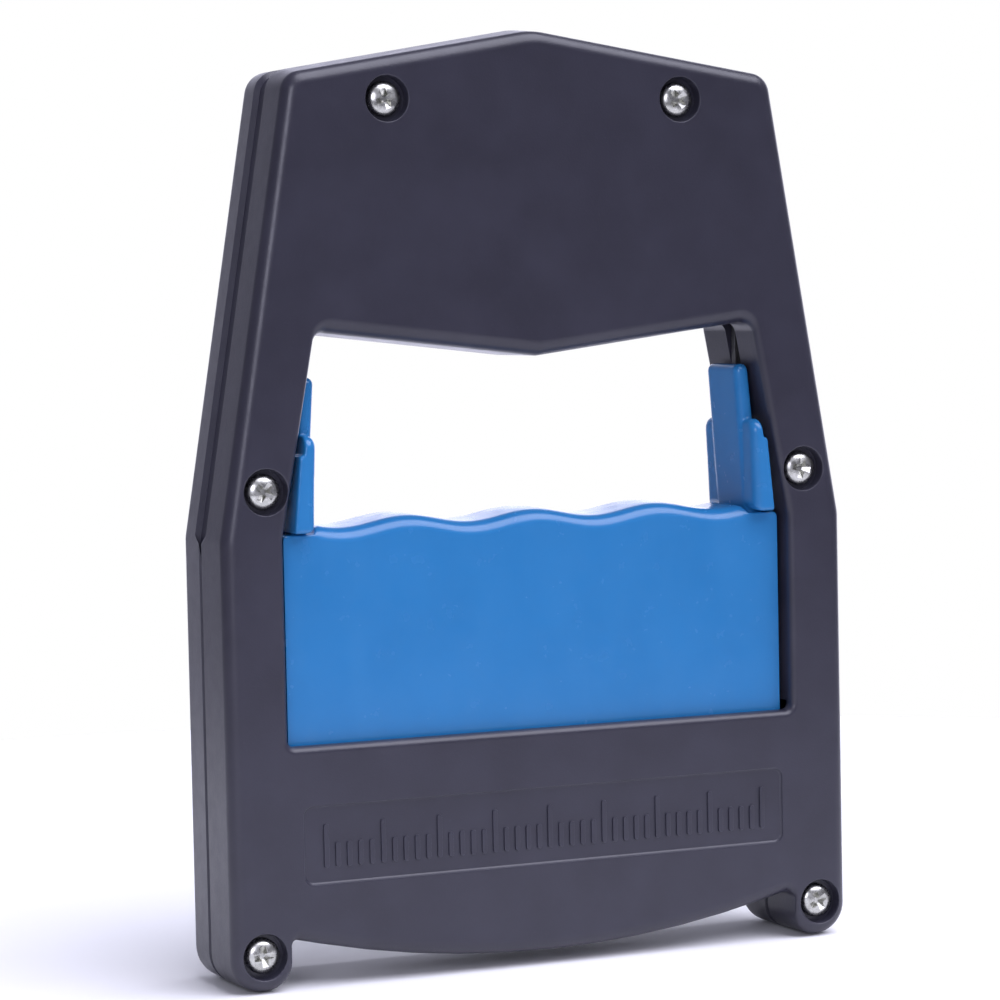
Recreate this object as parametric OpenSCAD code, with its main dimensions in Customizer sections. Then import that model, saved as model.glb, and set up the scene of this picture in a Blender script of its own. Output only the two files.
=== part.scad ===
// Hand dynamometer: a squeeze grip that slides in a two-shell case and turns a dial pointer.
// X is across the hand, Y runs from the back cover to the dial, Z is up. Z = 0 is under the feet.

/* [Case] */
// Width of the case at the waist
case_w = 111; // [108:0.5:114]
// Thickness of the two covers together
case_t = 20; // [19.5:0.1:21]
// Height of the waist, where the sides start to lean in
waist_z = 72; // [70:0.5:74]
// Width of the case at the shoulders
shoulder_w = 86.2; // [85:0.1:88]
// Height of the shoulders
shoulder_z = 146.1; // [145:0.1:148]
// Height of the roof's ridge before it is rounded
apex_z = 153.3; // [152:0.1:156]
// Thickness of the cover walls
wall = 2; // [1.8:0.1:2.2]
// Rounding of the outer edges
edge_r = 1; // [0.8:0.1:1]
// Depth of the back cover, up to the parting line
back_depth = 11; // [10.8:0.1:11.2]

/* [Hand opening] */
// Width of the opening below the waist
opening_w = 90.4; // [90:0.1:91]
// Width of the opening at its top corners
opening_top_w = 78; // [77:0.5:79]
// Height of the opening's sill
sill_z = 39; // [38:0.5:40]
// Height of the opening's top corners
corner_z = 104.7; // [104:0.1:106]
// Height of the point of the vee above the hand
vee_z = 99.9; // [99:0.1:101]
// Rounding of the opening's edges
opening_edge_r = 0.6; // [0.4:0.1:0.8]

/* [Grip] */
// How far the grip travels down
travel = 9.9; // [8:0.1:9.9]
// Width of the grip's panel
panel_w = 88.6; // [88:0.1:89.4]
// Thickness of the grip's panel
panel_t = 14.2; // [13.8:0.1:14.4]
// Height of the panel's shoulders
panel_top_z = 72.5; // [72:0.1:73]
// Height of the panel's lower edge, inside the case
panel_low_z = 22; // [21:0.5:23]
// Distance from one finger hollow to the next
finger_pitch = 22.4; // [21:0.1:24]
// Depth of the finger hollows
finger_depth = 1.5; // [0.8:0.1:2]
// Fall of the finger bar's top towards its front and back edges
finger_drop = 1.2; // [0.6:0.1:1.4]
// Height of the crests between the fingers
crest_z = 74.9; // [73.8:0.1:75]

/* [Springs] */
// Distance of each main spring from the middle
spring_x = 24; // [20:0.5:28]
// Mean diameter of the spring coils
coil_d = 7.4; // [7:0.1:7.6]
// Diameter of the spring wire
wire_d = 2.2; // [1.8:0.1:2.2]
// Number of turns in each spring
turns = 13; // [9:1:13]
// Diameter of the guide rods
rod_d = 3; // [2.5:0.1:3.4]

/* [Dial] */
// Height of the dial's centre
dial_z = 126.5; // [126:0.1:127]
// Diameter of the visible dial
dial_d = 38; // [36:0.5:38]
// Diameter of the clear lens
lens_d = 41; // [40:0.5:41]
// Diameter of the bezel ring
bezel_d = 45; // [44.5:0.5:45]
// Height of the reset knob above the front cover
knob_h = 5; // [4:0.5:6]

/* [Movement] */
// Tooth module of the rack and the pinion
gear_module = 0.3; // [0.3:0.01:0.3]
// Teeth on the pinion
pinion_teeth = 14; // [14:1:14]
// Diameter of the pinion shaft
shaft_d = 2; // [1.8:0.1:2.2]
// Width of the slot that guides the grip in the back cover
slot_w = 3.6; // [3.5:0.1:3.8]

/* [Screws] */
// Diameter of the case screw heads
head_d = 5.7; // [5:0.1:5.8]
// Diameter of the counterbores around the heads
counterbore_d = 7; // [6.6:0.1:7]
// Diameter of the case screw threads
thread_d = 2.8; // [2.5:0.1:3]

/* [Hidden] */

$fn = 48;
eps = 0.01;
gap = 0.3;

// Depths along Y: the back face, the front face, their inner faces and the parting plane
back_y = -(case_t + knob_h) / 2;
front_y = back_y + case_t;
back_in_y = back_y + wall;
front_in_y = front_y - wall;
part_y = back_y + back_depth;
mid_y = (back_y + front_y) / 2;

// Outline of the case as corners [x, z, radius], counterclockwise from the middle of the bottom
foot_x = 45.4;
foot_top_z = 8;
belly_z = -2.9;
belly_r = 172;
foot_r = 4.5;
waist_r = 8;
shoulder_r = 4;
apex_r = 14;
right_corners = [
    [foot_x, foot_top_z, 1], [foot_x, 0, foot_r], [case_w / 2, 0, 5.5],
    [case_w / 2, waist_z, waist_r], [shoulder_w / 2, shoulder_z, shoulder_r]
];
case_corners = concat(
    [[0, belly_z, belly_r]], right_corners, [[0, apex_z, apex_r]], mirrored(right_corners)
);

// Outline of the hand opening
opening_right = [
    [opening_w / 2, sill_z, 1.2], [opening_w / 2, waist_z, 6], [opening_top_w / 2, corner_z, 2]
];
opening_corners = concat(opening_right, [[0, vee_z, 3]], mirrored(opening_right));
opening_wall = 1.8;

// Screw places
top_screw = [26, 141.5];
mid_screw = [48, 79.7];
foot_screw = [50, 6];
screw_places = [for (s = [-1, 1], p = [top_screw, mid_screw, foot_screw]) [s * p[0], p[1]]];
boss_d = 6.4;
collar_d = 9.2;
collar_h = 2;
counterbore_h = 2;
head_h = 1.7;
thread_len = 13.5;

// Inner floor of the bottom block and the width that the panel slides in
floor_z = 8;
well_w = 94.2;
tongue_w = 92.4;
tongue_low_z = 56;

// Guide slot and the flat parts that run in it
slot_y = part_y - slot_w;
strip_t = 1.4;
strip_y = part_y - gap - strip_t;
rib_y = slot_y + gap;
rib_t = strip_y - rib_y;
link_x = 40.3;
link_w = 3;
link_low_z = 88.5;
rib_top_z = 96;
rivet_d = 1.6;

// Arms of the grip: each leans outward on its way down
arm_low_z = panel_top_z - 0.5;
arm_top_z = 97.5;
flange_top_z = 88.3;
step_z = 85;
flange_t = 18.4;
stem_t = 11.4;
wing_back = 0.2;
stem_back = 0.7;
pocket_spans = [[1.5, 16.5], [31.5, 40.5]];

// Main springs and what they bear on
spring_low_z = 10;
spring_high_z = 54;
washer_h = 3;
rod_top_z = 59;
rod_low_z = 8;
spring_bore_d = 10.8;
wire_sides = 8;
coil_rings = 18;

// Yoke and rack
bar_low_z = 124;
bar_h = 5;
frame_low_z = 120;
frame_w = 20;
frame_h = 23;
pinion_r = gear_module * pinion_teeth / 2;
tip_r = pinion_r + 0.9 * gear_module;
root_r = pinion_r - 1.15 * gear_module;
base_r = pinion_r * cos(20);
tooth_pitch = PI * gear_module;
tooth_play = 0.1;
window_room = 3.2;
pinion_w = 2.6;

// Dial stack along Y
plate_y = part_y + 0.5;
plate_t = 1.2;
dial_y = plate_y + plate_t + 0.7;
dial_t = 0.6;
pointer_y = dial_y + dial_t + 0.7;
pointer_t = 0.4;
max_y = pointer_y + 1.7;
lens_y = front_in_y + 0.2;
lens_t = 1.5;
gasket_t = 0.3;
bezel_h = 1.3;
knob_stem_d = 4;
zero_angle = 225;
post_places = [for (x = [-25.5, 25.5], z = [dial_z - 9, dial_z + 7]) [x, z]];
dial_screw_places = [for (s = [-1, 1]) [s * 11, dial_z]];
rear_bush_y = back_in_y + 0.9;
bush_d = 4;
boss_top_y = -6.2;

charcoal = [0.20, 0.20, 0.23];
blue = [0.16, 0.48, 0.80];
zinc = [0.78, 0.79, 0.80];
steel = [0.60, 0.61, 0.63];
brass = [0.78, 0.62, 0.30];

// ---- outline functions ----

// The same corners on the other side, in the opposite order
function mirrored(corners) =
    [for (i = [len(corners) - 1:-1:0]) [-corners[i][0], corners[i][1], corners[i][2]]];

function xz(corner) = [corner[0], corner[1]];

function unit(v) = v / norm(v);

function cross2(a, b) = a[0] * b[1] - a[1] * b[0];

// Points of one rounded corner, moved inward by the inset; steps is the number of arc pieces
function corner_arc(before, corner, after, inset, steps) =
    let (
        p = xz(corner),
        u = unit(xz(before) - p),
        v = unit(xz(after) - p),
        turn = cross2(-u, v) >= 0 ? 1 : -1,
        half = acos(u * v) / 2,
        centre = p + unit(u + v) * corner[2] / sin(half),
        r = corner[2] - turn * inset,
        first = turn * [-u[1], u[0]],
        sweep = 180 - 2 * half
    )
    [
        for (i = [0:steps])
            let (a = turn * sweep * i / steps)
            centre + r * [first[0] * cos(a) - first[1] * sin(a), first[0] * sin(a) + first[1] * cos(a)]
    ];

// A closed outline with rounded corners, moved inward by the inset
function outline(corners, inset, steps = 6) =
    let (n = len(corners))
    [
        for (i = [0:n - 1], q = corner_arc(corners[(i + n - 1) % n], corners[i], corners[(i + 1) % n],
                inset, steps)) q
    ];

// Quarter-round edge as [depth, inset] pairs
function edge_round(r, steps = 4) =
    [for (i = [0:steps]) [r * (1 - cos(90 * i / steps)), r * (1 - sin(90 * i / steps))]];

// ---- shared shapes ----

// Solid through a list of rings [y, inset] of one outline, with y rising
module loft(corners, rings) {
    n = len(outline(corners, 0));
    k = len(rings);
    points = [for (ring = rings, q = outline(corners, ring[1])) [q[0], ring[0], q[1]]];
    sides = [
        for (i = [0:k - 2], j = [0:n - 1], half = [0, 1])
            let (a = i * n + j, b = i * n + (j + 1) % n)
            half == 0 ? [a, b, b + n] : [a, b + n, a + n]
    ];
    caps = [[for (j = [n - 1:-1:0]) j], [for (j = [0:n - 1]) (k - 1) * n + j]];
    polyhedron(points = points, faces = concat(sides, caps));
}

// Flat shape drawn in X and Z, from y0 to y1
module slab(points, y0, y1) {
    translate([0, y1, 0]) rotate([90, 0, 0]) linear_extrude(height = y1 - y0) polygon(points);
}

// Block between two corners
module block(low, high) {
    translate(low) cube(high - low);
}

// Round bar along Y
module rod_y(place, d, y0, y1) {
    translate([place[0], y1, place[1]]) rotate([90, 0, 0]) cylinder(h = y1 - y0, d = d);
}

// Turned shape along Y: profile points are [radius, y]
module turned_y(place, profile) {
    translate([place[0], 0, place[1]]) rotate([-90, 0, 0]) rotate_extrude() polygon(profile);
}

module both_sides() {
    children();
    mirror([1, 0, 0]) children();
}

// ---- covers ----

// Space inside a cover between two depths, with the window walls and the floor left standing
module case_room(y0, y1) {
    difference() {
        slab(outline(case_corners, wall), y0, y1);
        slab(outline(opening_corners, -opening_wall), y0 - 1, y1 + 1);
        block([-case_w, y0 - 1, -5], [case_w, y1 + 1, floor_z]);
        for (p = screw_places) rod_y(p, boss_d, y0 - 1, y1 + 1);
    }
    block([-well_w / 2, y0, floor_z + 2], [well_w / 2, y1, sill_z + 1.5]);
}

// Window through a cover whose edge at face_y is rounded; side is +1 when the face looks to -Y
module opening_cut(face_y, side) {
    flare = [for (e = edge_round(opening_edge_r)) [face_y + side * e[0], -e[1]]];
    outside = [face_y - side, -opening_edge_r];
    inside = [face_y + side * (case_t + 1), 0];
    rings = concat([outside], flare, [inside]);
    ordered = side > 0 ? rings : [for (i = [len(rings) - 1:-1:0]) rings[i]];
    loft(opening_corners, ordered);
}

// Outer body of a cover, with a small chamfer at the parting line
module cover_body(face_y, side) {
    seam = 0.25;
    round = [for (e = edge_round(edge_r)) [face_y + side * e[0], e[1]]];
    rings = concat(round, [[part_y - side * seam, 0], [part_y, seam]]);
    ordered = side > 0 ? rings : [for (i = [len(rings) - 1:-1:0]) rings[i]];
    loft(case_corners, ordered);
}

// Shape that the slot takes out of the right window wall
slot_outline = [
    [36, sill_z - 3], [46.7, sill_z - 3], [46.7, 75.4], [44.4, 75.4],
    [44.4, 90], [47, 90], [46, 112], [38, 112]
];

plaque_w = 86;
plaque_low_z = 16.8;
plaque_high_z = 29.4;
plaque_r = 1.6;
plaque_depth = 0.45;
tick_count = 21;
tick_step = 3.8;

// Shallow recess for the raised graduation marks
module plaque_cut() {
    x = plaque_w / 2;
    y1 = back_y + plaque_depth;
    block([-x + plaque_r, back_y - 1, plaque_low_z], [x - plaque_r, y1, plaque_high_z]);
    block([-x, back_y - 1, plaque_low_z + plaque_r], [x, y1, plaque_high_z - plaque_r]);
    for (sx = [-1, 1], z = [plaque_low_z + plaque_r, plaque_high_z - plaque_r])
        rod_y([sx * (x - plaque_r), z], 2 * plaque_r, back_y - 1, y1);
}

// Raised graduation marks, every fifth one taller
module plaque_ticks() {
    for (i = [0:tick_count - 1]) {
        x = (i - (tick_count - 1) / 2) * tick_step;
        h = i % 5 == 0 ? 7 : 4;
        block([x - 0.35, back_y + 0.1, plaque_low_z + 2.6],
            [x + 0.35, back_y + plaque_depth + 0.1, plaque_low_z + 2.6 + h]);
    }
}

// Counterbore and clearance hole of one case screw
module screw_cut(p) {
    hole_r = thread_d / 2 + 0.2;
    turned_y(p, [
        [0, back_y - 1], [counterbore_d / 2, back_y - 1], [counterbore_d / 2, back_y + counterbore_h],
        [hole_r, back_y + counterbore_h], [hole_r, part_y + 1], [0, part_y + 1]
    ]);
}

module back_cover() color(charcoal) {
    difference() {
        cover_body(back_y, 1);
        opening_cut(back_y, 1);
        difference() {
            case_room(back_in_y, part_y + 1);
            for (p = screw_places) rod_y(p, collar_d, back_in_y - 1, back_in_y + collar_h);
            rod_y([0, dial_z], 8, back_in_y - 1, boss_top_y);
            both_sides() block([30, back_in_y - 1, 131.8], [36, -3, 134]);
        }
        both_sides() slab(slot_outline, slot_y, part_y + 1);
        for (p = screw_places) screw_cut(p);
        rod_y([0, dial_z], bush_d, rear_bush_y, boss_top_y + 1);
        plaque_cut();
    }
    plaque_ticks();
}

module front_cover() color(charcoal) {
    collar_y = pointer_y + 0.8;
    difference() {
        cover_body(front_y, -1);
        opening_cut(front_y, -1);
        difference() {
            case_room(part_y - 1, front_in_y);
            rod_y([0, dial_z], lens_d + 3, collar_y - 1, front_in_y + 1);
            for (p = post_places) rod_y(p, 5, plate_y + plate_t, front_in_y + 1);
        }
        rod_y([0, dial_z], lens_d + 4, part_y - 1, collar_y);
        rod_y([0, dial_z], dial_d, part_y - 1, front_y + 1);
        rod_y([0, dial_z], lens_d + 0.2, lens_y - gasket_t, front_y + 1);
        for (p = post_places) rod_y(p, 1.6, plate_y, front_in_y - 0.6);
        for (p = screw_places) rod_y(p, thread_d, part_y - 1, back_y + counterbore_h + thread_len + 0.5);
    }
}

// Domed head with a cross recess, on a plain thread core
module case_screw(p) {
    seat = back_y + counterbore_h;
    r = head_d / 2;
    difference() {
        turned_y(p, [
            [0, seat - head_h], [0.4 * r, seat - head_h + 0.05], [0.75 * r, seat - head_h + 0.35],
            [r, seat - 0.75], [r, seat], [thread_d / 2, seat],
            [thread_d / 2, seat + thread_len - 1.5], [0.3, seat + thread_len], [0, seat + thread_len]
        ]);
        for (a = [0, 90])
            translate([p[0], seat - head_h, p[1]]) rotate([0, a + 20, 0])
                cube([0.6, 1.8, 2.6], center = true);
    }
}

module case_screws() color(zinc) for (p = screw_places) case_screw(p);

// ---- grip ----

// Outer and inner faces of an arm at a height; the arm leans out on its way down
function arm_out(z) = 42.9 - 0.095 * (z - 73.7);
function arm_in(z) = 39.2 - 0.07 * (z - 76);

function wave_z(x) = crest_z - finger_depth / 2 * (1 - cos(360 * x / finger_pitch));

// Wavy bar under the fingers: its top is crowned from front to back
module finger_bar() {
    half = 39.6;
    steps = 66;
    low = panel_top_z - 12;
    top = [for (i = [0:steps]) let (x = half - 2 * half * i / steps) [x, wave_z(x)]];
    crown_r = (panel_t * panel_t / 4 + finger_drop * finger_drop) / 2 / finger_drop;
    crown = [
        for (i = [-8:8])
            let (y = -panel_t / 2 * i / 8)
            [y, crest_z - crown_r + sqrt(crown_r * crown_r - y * y)]
    ];
    intersection() {
        slab(concat([[-half, low], [half, low]], top), mid_y - panel_t / 2, mid_y + panel_t / 2);
        translate([-half, mid_y, 0]) rotate([90, 0, 90]) linear_extrude(height = 2 * half)
            polygon(concat([[-panel_t / 2, low], [panel_t / 2, low]], crown));
    }
}

module grip_arm() {
    slab([
        [arm_in(arm_low_z) + wing_back, arm_low_z], [arm_out(arm_low_z), arm_low_z],
        [arm_out(step_z), step_z], [arm_out(step_z) - 0.7, step_z],
        [arm_out(flange_top_z) - 0.9, flange_top_z - 1], [arm_out(flange_top_z) - 1.5, flange_top_z],
        [arm_in(flange_top_z) + wing_back, flange_top_z]
    ], mid_y - flange_t / 2, mid_y + flange_t / 2);
    slab([
        [arm_in(arm_low_z), arm_low_z], [arm_out(arm_low_z) - 1, arm_low_z],
        [arm_out(arm_top_z) - stem_back, arm_top_z - 0.8], [arm_out(arm_top_z) - stem_back - 0.7, arm_top_z],
        [arm_in(arm_top_z) + 0.6, arm_top_z], [arm_in(arm_top_z), arm_top_z - 0.8]
    ], mid_y - stem_t / 2, mid_y + stem_t / 2);
    block([39.2, rib_y, link_low_z], [link_x + link_w, rib_y + rib_t, rib_top_z]);
}

module grip() color(blue) {
    difference() {
        union() {
            block([-panel_w / 2, mid_y - panel_t / 2, panel_low_z],
                [panel_w / 2, mid_y + panel_t / 2, panel_top_z]);
            block([-tongue_w / 2, rib_y, tongue_low_z], [tongue_w / 2, part_y - gap, panel_top_z]);
            finger_bar();
            both_sides() grip_arm();
        }
        for (s = [-1, 1]) {
            translate([s * spring_x, mid_y, panel_low_z - 1])
                cylinder(h = spring_high_z + washer_h - panel_low_z + 1, d = spring_bore_d);
            translate([s * spring_x, mid_y, 50]) cylinder(h = 20.5, d = rod_d + 1);
        }
        both_sides() for (x = pocket_spans)
            block([x[0], mid_y - panel_t / 2 + 2, panel_low_z - 1], [x[1], mid_y + panel_t / 2 - 2, 64]);
        both_sides() block([link_x, strip_y, link_low_z], [link_x + link_w + 1, part_y, arm_top_z + 1]);
        for (p = link_rivet_places) rod_y(p, rivet_d, rib_y - 1, strip_y + 1);
    }
}

// ---- links, rivets and yoke ----

link_rivet_places = [for (s = [-1, 1], z = [90.5, 94]) [s * (link_x + link_w / 2), z]];
yoke_rivet_places = [for (s = [-1, 1], z = [125.2, 127.8]) [s * (link_x + link_w / 2), z]];

module link(side) color(steel) difference() {
    low = [side > 0 ? link_x : -link_x - link_w, strip_y, link_low_z];
    block(low, low + [link_w, strip_t, bar_low_z + bar_h - link_low_z]);
    for (p = concat(link_rivet_places, yoke_rivet_places)) rod_y(p, rivet_d, strip_y - 1, part_y + 1);
}

module link_left() link(-1);

module link_right() link(1);

module link_rivets() color(zinc)
    for (p = link_rivet_places) rod_y(p, rivet_d, rib_y, strip_y + strip_t);

module yoke_rivets() color(zinc) for (p = yoke_rivet_places) {
    rod_y(p, rivet_d, rib_y, strip_y + strip_t);
    rod_y(p, 2.2, rib_y - 0.6, rib_y);
    rod_y(p, 2.2, strip_y + strip_t, strip_y + strip_t + 0.5);
}

// Straight rack teeth that point to +X, one of them level with the pinion at rest
module rack_teeth() {
    half_root = tooth_pitch / 4 + 1.1 * gear_module * tan(20) - tooth_play / 2;
    half_tip = tooth_pitch / 4 - 0.8 * gear_module * tan(20) - tooth_play / 2;
    root_x = -pinion_r - 1.15 * gear_module;
    tip_x = -pinion_r + 0.8 * gear_module;
    for (i = [-2:12])
        slab([
            [root_x - 0.2, dial_z + i * tooth_pitch - half_root], [root_x, dial_z + i * tooth_pitch - half_root],
            [tip_x, dial_z + i * tooth_pitch - half_tip], [tip_x, dial_z + i * tooth_pitch + half_tip],
            [root_x, dial_z + i * tooth_pitch + half_root], [root_x - 0.2, dial_z + i * tooth_pitch + half_root]
        ], rib_y, rib_y + rib_t);
}

module rack_yoke() color(steel) {
    root_x = -pinion_r - 1.15 * gear_module;
    bar_x = link_x + link_w;
    difference() {
        union() {
            block([-bar_x, rib_y, bar_low_z], [bar_x, rib_y + rib_t, bar_low_z + bar_h]);
            block([-frame_w / 2, rib_y, frame_low_z], [frame_w / 2, rib_y + rib_t, frame_low_z + frame_h]);
        }
        block([root_x, rib_y - 1, dial_z - window_room],
            [window_room, rib_y + rib_t + 1, dial_z + travel + window_room]);
        for (p = yoke_rivet_places) rod_y(p, rivet_d, rib_y - 1, strip_y + 1);
    }
    rack_teeth();
}

// ---- springs ----

function smooth(t) = t * t * (3 - 2 * t);

// Height of the wire's centre after part t of the whole coil: the end turns lie flat
function coil_z(t) =
    let (end = 0.9 / turns, s = (t - end) / (1 - 2 * end), k = min(max(s, 0), 1))
    spring_low_z + wire_d / 2 + wire_d * min(t / end, 1) * 0.5 + wire_d * max((t - 1 + end) / end, 0) * 0.5
        + (spring_high_z - spring_low_z - 2 * wire_d) * k;

module spring(side) color(steel) {
    rings = turns * coil_rings;
    points = [
        for (i = [0:rings], j = [0:wire_sides - 1])
            let (
                t = i / rings,
                a = 360 * turns * t,
                b = 360 * j / wire_sides,
                r = coil_d / 2 + wire_d / 2 * cos(b)
            )
            [side * spring_x + r * cos(a), mid_y + r * sin(a), coil_z(t) + wire_d / 2 * sin(b)]
    ];
    n = wire_sides;
    sides = [
        for (i = [0:rings - 1], j = [0:n - 1], half = [0, 1])
            let (a = i * n + j, b = i * n + (j + 1) % n)
            half == 0 ? [a, b, b + n] : [a, b + n, a + n]
    ];
    caps = [[for (j = [n - 1:-1:0]) j], [for (j = [0:n - 1]) rings * n + j]];
    polyhedron(points = points, faces = concat(sides, caps));
}

module spring_left() spring(-1);

module spring_right() spring(1);

module guide_rod(side) color(steel) translate([side * spring_x, mid_y, rod_low_z]) {
    cylinder(h = rod_top_z - rod_low_z - 0.6, d = rod_d);
    translate([0, 0, rod_top_z - rod_low_z - 0.6]) cylinder(h = 0.6, d = rod_d - 0.8);
}

module guide_rod_left() guide_rod(-1);

module guide_rod_right() guide_rod(1);

module spring_seat(side) color(zinc) translate([side * spring_x, mid_y, floor_z]) difference() {
    union() {
        cylinder(h = spring_low_z - floor_z, d = 10);
        cylinder(h = spring_low_z - floor_z + 2, d = 4.6);
    }
    translate([0, 0, -1]) cylinder(h = 8, d = rod_d);
}

module spring_seat_left() spring_seat(-1);

module spring_seat_right() spring_seat(1);

module thrust_washer(side) color("ivory") translate([side * spring_x, mid_y, spring_high_z]) difference() {
    cylinder(h = washer_h, d = 10.4);
    translate([0, 0, -1]) cylinder(h = washer_h + 2, d = rod_d + 0.16);
}

module thrust_washer_left() thrust_washer(-1);

module thrust_washer_right() thrust_washer(1);

// Rubber bumpers that the yoke rests against
module stop_pads() color("dimgray")
    both_sides() block([30.5, -7, bar_low_z + bar_h + 0.1], [35.5, -3, 131.8]);

// ---- movement ----

module movement_plate() color(brass) difference() {
    union() {
        block([-29, plate_y, dial_z - 12], [29, plate_y + plate_t, dial_z + 10]);
        for (p = dial_screw_places) rod_y(p, 4, plate_y + plate_t - eps, dial_y);
    }
    for (p = post_places) rod_y(p, 2.4, plate_y - 1, plate_y + plate_t + 1);
    for (p = dial_screw_places) rod_y(p, 1.4, plate_y - 1, dial_y + 1);
    rod_y([0, dial_z], bush_d, plate_y - 1, plate_y + plate_t + 1);
}

module movement_screws() color(zinc) for (p = post_places) {
    rod_y(p, 4, plate_y - 1.1, plate_y);
    rod_y(p, 1.6, plate_y, front_in_y - 0.8);
}

module shaft_bush(y0, y1) {
    difference() {
        rod_y([0, dial_z], bush_d, y0, y1);
        rod_y([0, dial_z], shaft_d + 0.06, y0 - 1, y1 + 1);
    }
}

module shaft_bushes() color(brass) {
    shaft_bush(rear_bush_y, boss_top_y);
    shaft_bush(plate_y, plate_y + plate_t + 0.3);
}

// Angle between a tooth's centre line and its flank at radius r
function flank_angle(r) =
    let (
        a = acos(base_r / r),
        roll = tan(a) * 180 / PI - a,
        roll_pitch = tan(20) * 180 / PI - 20,
        half_pitch = 90 / pinion_teeth - tooth_play / 4 / pinion_r * 180 / PI
    )
    half_pitch + roll_pitch - roll;

function polar(r, a) = [r * cos(a), r * sin(a)];

// Radii from the root to the tip along a flank
flank_radii = [for (i = [0:4]) base_r + (tip_r - base_r) * i / 4];

function tooth_points(a) = concat(
    [polar(root_r, a - flank_angle(base_r))],
    [for (r = flank_radii) polar(r, a - flank_angle(r))],
    [for (i = [4:-1:0]) polar(flank_radii[i], a + flank_angle(flank_radii[i]))],
    [polar(root_r, a + flank_angle(base_r))]
);

module pinion() color(brass) {
    y0 = (rib_y + rib_y + rib_t) / 2 - pinion_w / 2;
    step = 360 / pinion_teeth;
    teeth = [for (i = [0:pinion_teeth - 1], q = tooth_points(180 + step * (i + 0.5))) q];
    translate([0, 0, dial_z]) slab(teeth, y0, y0 + pinion_w);
    rod_y([0, dial_z], shaft_d, rear_bush_y + 0.2, pointer_y + pointer_t + 0.4);
}

// ---- dial ----

module dial_plate() color("whitesmoke") difference() {
    rod_y([0, dial_z], lens_d + 2, dial_y, dial_y + dial_t);
    rod_y([0, dial_z], shaft_d + 1.2, dial_y - 1, dial_y + 1);
    for (p = dial_screw_places) rod_y(p, 1.4, dial_y - 1, dial_y + 1);
}

module dial_screws() color(zinc) for (p = dial_screw_places) {
    rod_y(p, 2.4, dial_y + dial_t, dial_y + dial_t + 0.35);
    rod_y(p, 1.4, plate_y, dial_y + dial_t);
}

// Hand that lies along the zero mark at rest
module needle(y0, length, tail, root_w, tip_w) {
    translate([0, 0, dial_z]) rotate([0, 90 + zero_angle, 0])
        slab([[-tail, -root_w / 2], [0, -root_w / 2], [length, -tip_w / 2], [length, tip_w / 2],
            [0, root_w / 2], [-tail, root_w / 2]], y0, y0 + pointer_t);
}

module pointer() color([0.08, 0.08, 0.08]) difference() {
    union() {
        needle(pointer_y, 16.6, 5, 1.6, 0.35);
        rod_y([0, dial_z], 4.2, pointer_y - 0.3, pointer_y + pointer_t + 0.4);
    }
    rod_y([0, dial_z], shaft_d, pointer_y - 1, pointer_y + 2);
}

module max_pointer() color([0.80, 0.08, 0.06]) {
    needle(max_y, 16.2, 4.5, 1.9, 0.4);
    rod_y([0, dial_z], 5, max_y - 0.2, max_y + 0.8);
}

module drag_washer() color("ivory") difference() {
    rod_y([0, dial_z], 7, lens_y + lens_t + 0.05, lens_y + lens_t + 0.55);
    rod_y([0, dial_z], knob_stem_d, lens_y, lens_y + lens_t + 1);
}

module reset_knob() color([0.10, 0.10, 0.11]) {
    low = lens_y + lens_t + 0.55;
    high = back_y + case_t + knob_h;
    rod_y([0, dial_z], knob_stem_d, max_y + 0.8, low);
    difference() {
        turned_y([0, dial_z], [[0, low], [4.4, low], [4.6, high - 1], [4, high - 0.2], [3.4, high], [0, high]]);
        for (i = [0:17])
            rod_y([4.9 * cos(20 * i), dial_z + 4.9 * sin(20 * i)], 0.9, low + 0.6, high + 1);
    }
}

module lens_gasket() color([0.12, 0.12, 0.12]) difference() {
    rod_y([0, dial_z], lens_d, lens_y - gasket_t, lens_y);
    rod_y([0, dial_z], dial_d + 0.6, lens_y - 1, lens_y + 1);
}

module dial_lens() color([0.85, 0.93, 0.95, 0.35]) difference() {
    rod_y([0, dial_z], lens_d, lens_y, lens_y + lens_t);
    rod_y([0, dial_z], knob_stem_d + 0.12, lens_y - 1, lens_y + lens_t + 1);
}

module bezel_ring() color([0.14, 0.14, 0.15]) {
    out = bezel_d / 2;
    lip = lens_d / 2 - 1.8;
    low = lens_y + lens_t;
    turned_y([0, dial_z], [
        [lip, low], [lens_d / 2, low], [lens_d / 2, front_y], [out, front_y],
        [out, front_y + bezel_h - 0.7], [out - 0.7, front_y + bezel_h],
        [lip + 1.1, front_y + bezel_h], [lip, low + 0.5]
    ]);
}

back_cover();
front_cover();
case_screws();
grip();
link_left();
link_right();
link_rivets();
rack_yoke();
yoke_rivets();
spring_left();
spring_right();
guide_rod_left();
guide_rod_right();
spring_seat_left();
spring_seat_right();
thrust_washer_left();
thrust_washer_right();
stop_pads();
movement_plate();
movement_screws();
shaft_bushes();
pinion();
dial_plate();
dial_screws();
pointer();
max_pointer();
drag_washer();
reset_knob();
lens_gasket();
dial_lens();
bezel_ring();
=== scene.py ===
"""Looks of a hand dynamometer: moulded covers, squeeze grip, screws, dial and the parts inside."""

import math

import bmesh
import bpy
from mathutils import Matrix, Vector


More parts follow.
